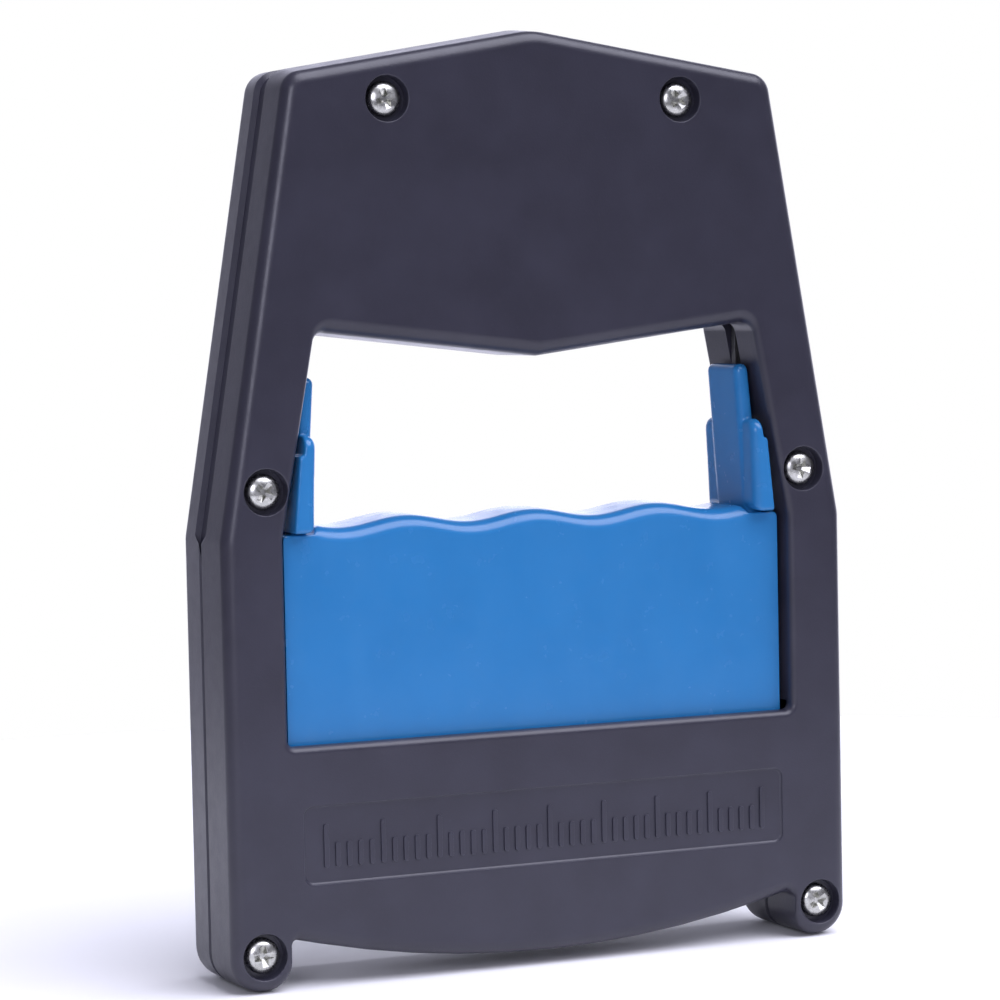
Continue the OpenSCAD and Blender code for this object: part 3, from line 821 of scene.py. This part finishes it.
def arc_band(name, r0, r1, turn0, turn1, y, thick):
    """Thin printed band along part of a circle."""
    steps = 96
    corners = ((r0, y), (r1, y), (r1, y + thick), (r0, y + thick))
    rings = []
    for k in range(steps + 1):
        turn = turn0 + (turn1 - turn0) * k / steps
        rings.append([dial_point(r, turn, level) for r, level in corners])
    return loft(name, rings)


INK_THICK = 0.05
SCALE_R = 17.1
TEN_TICK = (14.6, 0.34)
FIVE_TICK = (15.4, 0.24)
ONE_TICK = (16.1, 0.16)
NUMBER_R = 12.4
NUMBER_SIZE = 2.5
RED_FROM = 80


def tick(value):
    """Scale mark of a value, longer and wider at tens and fives."""
    inner_r, width = TEN_TICK if value % 10 == 0 else FIVE_TICK if value % 5 == 0 else ONE_TICK
    return loft("tick", dial_bar(scale_turn(value), inner_r, SCALE_R, width, plate_high.y, INK_THICK))


def dial_marks(ink, red):
    """Scale with its circle, marks and numbers, and the red band at its end."""
    y = plate_high.y
    marks = [arc_band("circle", 16.9, 17.15, ZERO_TURN, ZERO_TURN + FULL_SWEEP, y, INK_THICK)]
    marks += [tick(value) for value in range(SCALE_TOP + 1)]
    for value in range(0, SCALE_TOP + 1, 10):
        marks.append(number(value, scale_turn(value), NUMBER_R, NUMBER_SIZE, y, INK_THICK))
    finish_piece(join("dial_marks", marks), "case", "pointer_black", ink)
    band = arc_band("dial_red_band", 17.6, 18.3, scale_turn(RED_FROM), scale_turn(SCALE_TOP), y, INK_THICK)
    finish_piece(band, "case", "pointer_red", red)


def dial_plate(material):
    """Round plate with holes for the pointer's shaft and two screws."""
    plate = lathe("dial_face", (0, DIAL_Z), [
        (0, plate_low.y), (21.3, plate_low.y), (21.5, plate_low.y + 0.15), (21.5, plate_high.y - 0.15),
        (21.3, plate_high.y), (0, plate_high.y),
    ], 128)
    combine(plate, rod("shaft_hole", (0, DIAL_Z), 1.6, plate_low.y - 1, plate_high.y + 1))
    for x in (-11, 11):
        combine(plate, rod("screw_hole", (x, DIAL_Z), 0.7, plate_low.y - 1, plate_high.y + 1))
    smooth_normals(plate)
    finish_piece(plate, "case", "dial_white", material, "dial_plate")


# Directions on the dial, along the zero mark and across it
ZERO_A = math.radians(ZERO_TURN)
ZERO_ALONG = Vector((-math.sin(ZERO_A), 0, math.cos(ZERO_A)))
ZERO_ACROSS = Vector((math.cos(ZERO_A), 0, math.sin(ZERO_A)))


def blade_outline(length, root, tip):
    """Tapered blade with a round tip, as distances along and across it."""
    steps = 24
    outline = []
    for k in range(steps + 1):
        t = k / steps
        outline.append((length * t, (root * (1 - t) + tip * t) / 2))
    for k in range(1, 8):
        a = math.pi * k / 8
        outline.append((length + tip / 2 * math.sin(a), tip / 2 * math.cos(a)))
    for k in range(steps):
        outline.append((length * (1 - k / steps), -(root * k / steps + tip * (1 - k / steps)) / 2))
    return outline


def zero_plate(name, outline, y0, y1):
    """Flat plate whose outline lies along the zero mark."""
    rings = []
    for y in (y0, y1):
        centre = Vector((0, y, DIAL_Z))
        rings.append([tuple(centre + ZERO_ALONG * u + ZERO_ACROSS * v) for u, v in outline])
    return loft(name, rings)


def needle(name, y, thick, length, tail, root, tip, hub_r, hub_y, shaft_r):
    """Hand with a tapered blade, a round counterweight and a hub, lying along the zero mark."""
    blade = zero_plate(name, blade_outline(length, root, tip), y, y + thick)
    weight_r = 1.35 * root
    weight_u = -tail + weight_r
    tail_outline = ((0.5, -root / 2), (0.5, root / 2), (weight_u, root * 0.35), (weight_u, -root * 0.35))
    combine(blade, zero_plate("tail", tail_outline, y + 0.01, y + thick - 0.01), "UNION")
    weight = Vector((0, 0, DIAL_Z)) + ZERO_ALONG * weight_u
    combine(blade, rod("weight", (weight.x, weight.z), weight_r, y - 0.02, y + thick + 0.02), "UNION")
    low, high = hub_y
    hub = lathe("hub", (0, DIAL_Z), [
        (0, low), (hub_r - 0.15, low), (hub_r, low + 0.15), (hub_r, high - 0.35), (hub_r - 0.15, high - 0.12),
        (hub_r - 0.4, high), (0, high),
    ])
    combine(blade, hub, "UNION")
    if shaft_r:
        combine(blade, rod("bore", (0, DIAL_Z), shaft_r, low - 1, high + 1))
    smooth_normals(blade)
    return blade


def pointers(black, red):
    """Black pointer pressed on the pinion's shaft, and the red pointer below the knob."""
    force = needle(
        "force_pointer", needle_low.y + 0.3, thick=0.4, length=16.5, tail=5, root=1.6, tip=0.35,
        hub_r=2.1, hub_y=(needle_low.y, needle_high.y), shaft_r=1.0,
    )
    finish_piece(force, "pointer", "pointer_black", black, "pointer")
    hold = needle(
        "hold_pointer_hand", hold_low.y + 0.2, thick=0.4, length=16.1, tail=4.5, root=1.7, tip=0.4,
        hub_r=2.5, hub_y=(hold_low.y, hold_high.y), shaft_r=0,
    )
    finish_piece(hold, "hold_pointer", "pointer_red", red, "max_pointer")


KNOB_FLUTES = 18
FLUTE_DEPTH = 0.22
STEM_R = 2.0


def reset_knob(material):
    """Knob with rounded flutes, a dished top and a stem through the lens."""
    low, high = lens_high.y + 0.55, knob_high.y
    count = KNOB_FLUTES * 10
    levels = [(low, 4.0, 0), (low + 0.15, 4.4, 0), (low + 0.5, 4.5, 0.2), (low + 0.9, 4.55, 1)]
    levels += [(high - 1.1, 4.5, 1), (high - 0.55, 4.35, 0.9), (high - 0.2, 4.05, 0.5)]
    levels += [(high - 0.04, 3.7, 0.1), (high, 3.4, 0), (high - 0.05, 3.1, 0)]
    levels += [(high - 0.3, 2.6, 0), (high - 0.42, 1.2, 0)]
    rings = []
    for y, r, flute_share in levels:
        section = []
        for j in range(count):
            a = math.tau * j / count
            cut = FLUTE_DEPTH * flute_share * (0.5 + 0.5 * math.cos(KNOB_FLUTES * a)) ** 2
            section.append(((r - cut) * math.cos(a), y, DIAL_Z + (r - cut) * math.sin(a)))
        rings.append(section)
    knob = loft("reset_knob_cap", rings)
    combine(knob, rod("stem", (0, DIAL_Z), STEM_R, hold_high.y, low + 1), "UNION")
    smooth_normals(knob)
    finish_piece(knob, "hold_pointer", "knob_black", material, "reset_knob")


def lens(material):
    """Clear disc with rounded rims and a hole for the knob's stem."""
    disc = lathe("lens_disc", (0, DIAL_Z), [
        (0, lens_low.y), (20.3, lens_low.y), (20.5, lens_low.y + 0.2), (20.5, lens_high.y - 0.25),
        (20.25, lens_high.y), (0, lens_high.y),
    ], 128)
    combine(disc, rod("stem_hole", (0, DIAL_Z), STEM_R + 0.06, lens_low.y - 1, lens_high.y + 1))
    smooth_normals(disc)
    finish_piece(disc, "case", "lens_clear", material, "dial_lens")


BEZEL_R = 22.5
BEZEL_LIP = 18.7
BEZEL_ROUND = 0.7
LENS_SEAT_R = 20.5


def bezel(material):
    """Ring with a rounded outer edge and a face that slopes down to the lens."""
    top = bezel_high.y
    flat_r = BEZEL_R - BEZEL_ROUND
    profile = [(BEZEL_LIP, lens_high.y), (LENS_SEAT_R, lens_high.y), (LENS_SEAT_R, FRONT_Y)]
    profile += [(BEZEL_R, FRONT_Y), (BEZEL_R, top - 0.75)]
    for k in range(1, 7):
        a = math.pi / 2 * k / 6
        profile.append((flat_r + BEZEL_ROUND * math.cos(a), top - BEZEL_ROUND + BEZEL_ROUND * math.sin(a)))
    for k in range(1, 6):
        t = k / 5
        profile.append((flat_r - (flat_r - BEZEL_LIP - 0.25) * t, top - 0.9 * t * t))
    profile.append((BEZEL_LIP, lens_high.y + 0.5))
    segments = 144
    rings = []
    for j in range(segments):
        a = math.tau * j / segments
        rings.append([(r * math.cos(a), y, DIAL_Z + r * math.sin(a)) for r, y in profile])
    ring_piece = loft("bezel", rings, closed=True)
    smooth_normals(ring_piece)
    finish_piece(ring_piece, "case", "knob_black", material, "bezel_ring")


# ---- materials ----


class Nodes:
    """Short calls that build one node material."""

    def __init__(self, name):
        self.material = bpy.data.materials.new(name)
        self.material.use_nodes = True
        self.tree = self.material.node_tree
        self.shader = self.tree.nodes["Principled BSDF"]
        self.place = self.add("ShaderNodeTexCoord").outputs["Object"]

    def add(self, kind, **settings):
        node = self.tree.nodes.new(kind)
        for key, value in settings.items():
            setattr(node, key, value)
        return node

    def link(self, source, target):
        self.tree.links.new(source, target)

    def noise(self, size_mm, detail=3.0, roughness=0.5, stretch=(1, 1, 1)):
        """Noise whose features are about size_mm across."""
        mapping = self.add("ShaderNodeMapping")
        mapping.inputs["Scale"].default_value = [s / (size_mm * MM) for s in stretch]
        self.link(self.place, mapping.inputs["Vector"])
        node = self.add("ShaderNodeTexNoise")
        node.inputs["Scale"].default_value = 1.0
        node.inputs["Detail"].default_value = detail
        node.inputs["Roughness"].default_value = roughness
        self.link(mapping.outputs["Vector"], node.inputs["Vector"])
        return node.outputs["Fac"]

    def ramp(self, source, low, high, start=0.3, end=0.7):
        """Values or colours spread over part of the source's range."""
        node = self.add("ShaderNodeValToRGB")
        for stop, value, at in zip(node.color_ramp.elements, (low, high), (start, end)):
            stop.position = at
            stop.color = (value, value, value, 1) if isinstance(value, (int, float)) else (*value, 1)
        self.link(source, node.inputs["Fac"])
        return node.outputs["Color"]

    def bump(self, source, height_mm, strength=1.0, before=None):
        node = self.add("ShaderNodeBump")
        node.inputs["Distance"].default_value = height_mm * MM
        node.inputs["Strength"].default_value = strength
        self.link(source, node.inputs["Height"])
        if before is not None:
            self.link(before, node.inputs["Normal"])
        return node.outputs["Normal"]

    def mix(self, factor, low, high):
        node = self.add("ShaderNodeMix", data_type="RGBA")
        self.link(factor, node.inputs["Factor"])
        for socket, value in ((node.inputs["A"], low), (node.inputs["B"], high)):
            if isinstance(value, tuple):
                socket.default_value = (*value, 1)
            else:
                self.link(value, socket)
        return node.outputs["Result"]

    def edges(self, reach_mm):
        """White near creases and edges, where a rounded normal leaves the true one."""
        rounded = self.add("ShaderNodeBevel", samples=4)
        rounded.inputs["Radius"].default_value = reach_mm * MM
        geometry = self.add("ShaderNodeNewGeometry")
        dot = self.add("ShaderNodeVectorMath", operation="DOT_PRODUCT")
        self.link(rounded.outputs["Normal"], dot.inputs[0])
        self.link(geometry.outputs["Normal"], dot.inputs[1])
        return self.ramp(dot.outputs["Value"], 1.0, 0.0, 0.8, 0.99)

    def set(self, **values):
        for key, value in values.items():
            socket = self.shader.inputs[key.replace("_", " ")]
            if isinstance(value, (int, float)):
                socket.default_value = value
            elif isinstance(value, tuple):
                socket.default_value = (*value, 1)
            else:
                self.link(value, socket)
        return self.material


def plastic(name, dark, light, grain_mm, grain_height, rough, worn):
    """Moulded plastic: fine grain, faint cloudiness, and lighter worn edges."""
    m = Nodes(name)
    cloud = m.noise(9.0, 4.0)
    colour = m.ramp(cloud, dark, light)
    speck = m.ramp(m.noise(0.5, 2.0), 0.0, 1.0, 0.62, 0.74)
    colour = m.mix(speck, colour, light)
    colour = m.mix(m.edges(0.25), colour, worn)
    grain = m.bump(m.noise(grain_mm, 3.0, 0.6), grain_height)
    normal = m.bump(m.noise(14.0, 2.0), 0.02, 1.0, grain)
    gloss = m.ramp(m.noise(2.5, 5.0, 0.6), rough[0], rough[1])
    return m.set(Base_Color=colour, Roughness=gloss, Normal=normal)


def brushed_metal(name, dark, light, rough, stretch):
    """Metal with fine streaks and darker tarnish."""
    m = Nodes(name)
    streaks = m.noise(0.6, 4.0, 0.6, stretch)
    colour = m.ramp(streaks, dark, light)
    tarnish = m.ramp(m.noise(3.0, 4.0), 0.0, 1.0, 0.55, 0.8)
    colour = m.mix(tarnish, colour, dark)
    normal = m.bump(streaks, 0.006)
    gloss = m.ramp(m.noise(1.2, 4.0), rough[0], rough[1])
    return m.set(Base_Color=colour, Metallic=1.0, Roughness=gloss, Normal=normal)


def painted(name, base, shade, rough):
    """Smooth paint with faint cloudiness."""
    m = Nodes(name)
    colour = m.ramp(m.noise(4.0, 4.0), base, shade)
    normal = m.bump(m.noise(0.35, 3.0), 0.003)
    gloss = m.ramp(m.noise(1.5, 4.0), rough[0], rough[1])
    return m.set(Base_Color=colour, Roughness=gloss, Normal=normal)


def clear_lens(name):
    """Clear plastic, slightly uneven."""
    m = Nodes(name)
    gloss = m.ramp(m.noise(5.0, 5.0), 0.015, 0.06)
    normal = m.bump(m.noise(20.0, 1.0), 0.01)
    tint = m.ramp(m.noise(30.0, 1.0), (0.95, 0.98, 0.98), (0.99, 1.0, 1.0))
    return m.set(Base_Color=tint, Roughness=gloss, Normal=normal, Transmission_Weight=1.0, IOR=1.49)


def grip_plastic():
    """Glossy blue plastic with faint haze."""
    m = Nodes("grip_plastic")
    colour = m.ramp(m.noise(12.0, 3.0), (0.018, 0.168, 0.412), (0.021, 0.180, 0.436))
    haze = m.ramp(m.noise(7.0, 2.0, 0.5, (1, 1, 0.35)), 0.0, 1.0, 0.45, 0.9)
    colour = m.mix(haze, colour, (0.026, 0.186, 0.440))
    normal = m.bump(m.noise(0.6, 2.0), 0.0015)
    normal = m.bump(m.noise(10.0, 2.0), 0.03, 1.0, normal)
    gloss = m.ramp(m.noise(3.0, 3.0), 0.20, 0.28)
    return m.set(Base_Color=colour, Roughness=gloss, Normal=normal)


def make_materials():
    return {
        "case": plastic(
            "case_plastic", (0.024, 0.023, 0.036), (0.031, 0.030, 0.046),
            grain_mm=0.35, grain_height=0.022, rough=(0.30, 0.38), worn=(0.055, 0.055, 0.075),
        ),
        "grip": grip_plastic(),
        "zinc": brushed_metal("zinc_screw", (0.40, 0.40, 0.37), (0.66, 0.66, 0.62), (0.20, 0.36), (1, 1, 1)),
        "strip": brushed_metal(
            "steel_strip", (0.10, 0.10, 0.10), (0.20, 0.20, 0.20), (0.4, 0.55), (4, 4, 0.2),
        ),
        "spring": brushed_metal(
            "spring_steel", (0.30, 0.31, 0.33), (0.52, 0.53, 0.56), (0.22, 0.38), (1, 1, 1),
        ),
        "nylon": plastic(
            "nylon", (0.72, 0.70, 0.62), (0.80, 0.78, 0.71),
            grain_mm=0.5, grain_height=0.01, rough=(0.42, 0.55), worn=(0.86, 0.85, 0.80),
        ),
        "rubber": plastic(
            "pad_rubber", (0.018, 0.018, 0.019), (0.030, 0.030, 0.031),
            grain_mm=0.25, grain_height=0.03, rough=(0.7, 0.85), worn=(0.05, 0.05, 0.05),
        ),
        "brass_sheet": brushed_metal(
            "brass_sheet", (0.62, 0.44, 0.17), (0.80, 0.61, 0.28), (0.26, 0.4), (0.25, 4, 4),
        ),
        "brass_turned": brushed_metal(
            "brass_turned", (0.66, 0.47, 0.18), (0.86, 0.67, 0.32), (0.18, 0.3), (4, 0.3, 4),
        ),
        "white": painted("dial_white", (0.80, 0.80, 0.77), (0.86, 0.86, 0.84), (0.35, 0.5)),
        "black": painted("pointer_black", (0.010, 0.010, 0.011), (0.018, 0.018, 0.020), (0.3, 0.45)),
        "red": painted("pointer_red", (0.52, 0.020, 0.014), (0.62, 0.030, 0.020), (0.3, 0.45)),
        "knob": plastic(
            "knob_black", (0.014, 0.014, 0.016), (0.022, 0.022, 0.024),
            grain_mm=0.3, grain_height=0.01, rough=(0.3, 0.42), worn=(0.05, 0.05, 0.055),
        ),
        "lens": clear_lens("lens_clear"),
    }


# Finish of each CAD node that no piece replaces
CAD_FINISHES = {
    "link_left": "strip", "link_right": "strip", "rack_yoke": "strip", "link_rivets": "zinc",
    "yoke_rivets": "zinc", "guide_rod_left": "zinc", "guide_rod_right": "zinc", "spring_seat_left": "zinc",
    "spring_seat_right": "zinc", "thrust_washer_left": "nylon", "thrust_washer_right": "nylon",
    "stop_pads": "rubber", "movement_plate": "brass_sheet", "movement_screws": "zinc",
    "shaft_bushes": "brass_turned", "pinion": "brass_turned", "dial_screws": "zinc", "drag_washer": "nylon",
    "lens_gasket": "rubber",
}


def finish_cad_nodes(materials):
    """Gives the parts that stay as they are a material and a fine bevel."""
    for node, finish in CAD_FINISHES.items():
        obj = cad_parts[node]
        obj.data.materials.clear()
        obj.data.materials.append(materials[finish])
        bevel = obj.modifiers.new("bevel", "BEVEL")
        bevel.width = 0.06 * MM
        bevel.segments = 2
        bevel.limit_method = "ANGLE"
        bevel.angle_limit = math.radians(40)


# ---- stage ----

FLOOR_R = 320
FLOOR_SIDES = 120

# The backdrop grows bright toward this direction, over these shares of it, and fades over these heights
BRIGHT_WAY = Vector((0.5, 0.87, 0)).normalized()
BRIGHT_SHARES = (0.6, 1.0)
BRIGHT_HEIGHTS = (0.42, 0.6)
SKY_LEVELS = ((0.0, 0.22), (0.3, 0.75), (1.0, 2.0))
SKY_BLUE = 1.22
LAMP_COLOUR = (0.86, 0.86, 1.0)
KEY_COLOUR = (0.84, 0.84, 1.0)


def stage_floor():
    """Plain pale disc below the feet."""
    m = Nodes("pale_floor")
    tone = m.ramp(m.noise(60.0, 2.0), (0.90, 0.90, 0.90), (0.92, 0.92, 0.92))
    m.set(Base_Color=tone, Roughness=0.9)
    around = [math.radians(360 / FLOOR_SIDES * i) for i in range(FLOOR_SIDES)]
    rim = [(FLOOR_R * math.cos(a), FLOOR_R * math.sin(a), 0) for a in around]
    floor = from_faces("floor", rim, [tuple(range(len(rim)))])
    floor.data.transform(Matrix.Scale(MM, 4))
    floor.data.materials.append(m.material)


def area_light(name, place, target, size, power, colour):
    """Square lamp at a place, turned toward a target."""
    data = bpy.data.lights.new(name, "AREA")
    data.size = size * MM
    data.energy = power
    data.color = colour
    light = bpy.data.objects.new(name, data)
    bpy.context.scene.collection.objects.link(light)
    light.location = Vector(place) * MM
    light.rotation_euler = (Vector(target) - Vector(place)).to_track_quat("-Z", "Y").to_euler()


def softbox(toward, width, strength):
    """Very wide sun lamp: a soft lamp that lights the whole floor evenly. width is in degrees."""
    data = bpy.data.lights.new("softbox", "SUN")
    data.energy = strength
    data.angle = math.radians(width)
    data.color = LAMP_COLOUR
    light = bpy.data.objects.new("softbox", data)
    bpy.context.scene.collection.objects.link(light)
    light.rotation_euler = Vector(toward).to_track_quat("Z", "Y").to_euler()


def map_range(tree, source, low, high, start, end):
    node = tree.nodes.new("ShaderNodeMapRange")
    for socket, value in (("From Min", low), ("From Max", high), ("To Min", start), ("To Max", end)):
        node.inputs[socket].default_value = value
    tree.links.new(source, node.inputs["Value"])
    return node.outputs["Result"]


def studio():
    """White backdrop low behind the object, dim surroundings elsewhere, and soft lamps."""
    world = bpy.data.worlds.new("studio")
    world.use_nodes = True
    tree = world.node_tree
    direction = tree.nodes.new("ShaderNodeTexCoord").outputs["Generated"]
    toward = tree.nodes.new("ShaderNodeVectorMath")
    toward.operation = "DOT_PRODUCT"
    tree.links.new(direction, toward.inputs[0])
    toward.inputs[1].default_value = BRIGHT_WAY
    split = tree.nodes.new("ShaderNodeSeparateXYZ")
    tree.links.new(direction, split.inputs["Vector"])
    behind = map_range(tree, toward.outputs["Value"], *BRIGHT_SHARES, 0.0, 1.0)
    low_down = map_range(tree, split.outputs["Z"], *BRIGHT_HEIGHTS, 1.0, 0.0)
    both = tree.nodes.new("ShaderNodeMath")
    both.operation = "MULTIPLY"
    tree.links.new(behind, both.inputs[0])
    tree.links.new(low_down, both.inputs[1])
    ramp = tree.nodes.new("ShaderNodeValToRGB")
    stops = ramp.color_ramp.elements
    while len(stops) < len(SKY_LEVELS):
        stops.new(0.5)
    for stop, (place, level) in zip(stops, SKY_LEVELS):
        stop.position = place
        stop.color = (level, level, level * SKY_BLUE, 1)
    tree.links.new(both.outputs["Value"], ramp.inputs["Fac"])
    seen = tree.nodes.new("ShaderNodeLightPath").outputs["Is Camera Ray"]
    mix = tree.nodes.new("ShaderNodeMix")
    mix.data_type = "RGBA"
    tree.links.new(seen, mix.inputs["Factor"])
    tree.links.new(ramp.outputs["Color"], mix.inputs["A"])
    mix.inputs["B"].default_value = (1, 1, 1, 1)
    tree.links.new(mix.outputs["Result"], tree.nodes["Background"].inputs["Color"])
    bpy.context.scene.world = world
    bpy.context.scene.view_settings.view_transform = "Standard"
    area_light("key", place=(-448, -624, 290), target=(0, 0, 80), size=280, power=1.9, colour=KEY_COLOUR)
    softbox(toward=(0.3, -0.35, 0.87), width=60, strength=4.0)


CAMERA_TARGET = Vector((-7.9, BACK_Y, 76.8))
CAMERA_AZIMUTH = math.radians(23.7)
CAMERA_ELEVATION = math.radians(3.48)
CAMERA_ROLL = math.radians(-1.18)
CAMERA_DISTANCE = 566.8
LENS_LENGTH = 126
SENSOR_WIDTH = 36


def photo_camera():
    """Camera to the left of the back cover, slightly above its middle."""
    sin_a, cos_a = math.sin(CAMERA_AZIMUTH), math.cos(CAMERA_AZIMUTH)
    level = math.cos(CAMERA_ELEVATION)
    back = Vector((-sin_a * level, -cos_a * level, math.sin(CAMERA_ELEVATION)))
    right = Vector((cos_a, -sin_a, 0))
    up = back.cross(right)
    rolled_right = right * math.cos(CAMERA_ROLL) + up * math.sin(CAMERA_ROLL)
    rolled_up = back.cross(rolled_right)
    data = bpy.data.cameras.new("camera")
    data.lens, data.sensor_width = LENS_LENGTH, SENSOR_WIDTH
    camera = bpy.data.objects.new("camera", data)
    bpy.context.scene.collection.objects.link(camera)
    turn = Matrix((rolled_right, rolled_up, back)).transposed().to_4x4()
    camera.matrix_world = Matrix.Translation((CAMERA_TARGET + back * CAMERA_DISTANCE) * MM) @ turn
    bpy.context.scene.camera = camera


# ---- the model ----

photo_camera()
studio()
stage_floor()
materials = make_materials()
finish_cad_nodes(materials)
back_cover(materials["case"])
front_cover(materials["case"])
case_screws(materials["zinc"])
grip(materials["grip"])
spring("main_spring_left", -SPRING_X, materials["spring"], "spring_left")
spring("main_spring_right", SPRING_X, materials["spring"], "spring_right")
dial_plate(materials["white"])
dial_marks(materials["black"], materials["red"])
pointers(materials["black"], materials["red"])
reset_knob(materials["knob"])
lens(materials["lens"])
bezel(materials["knob"])
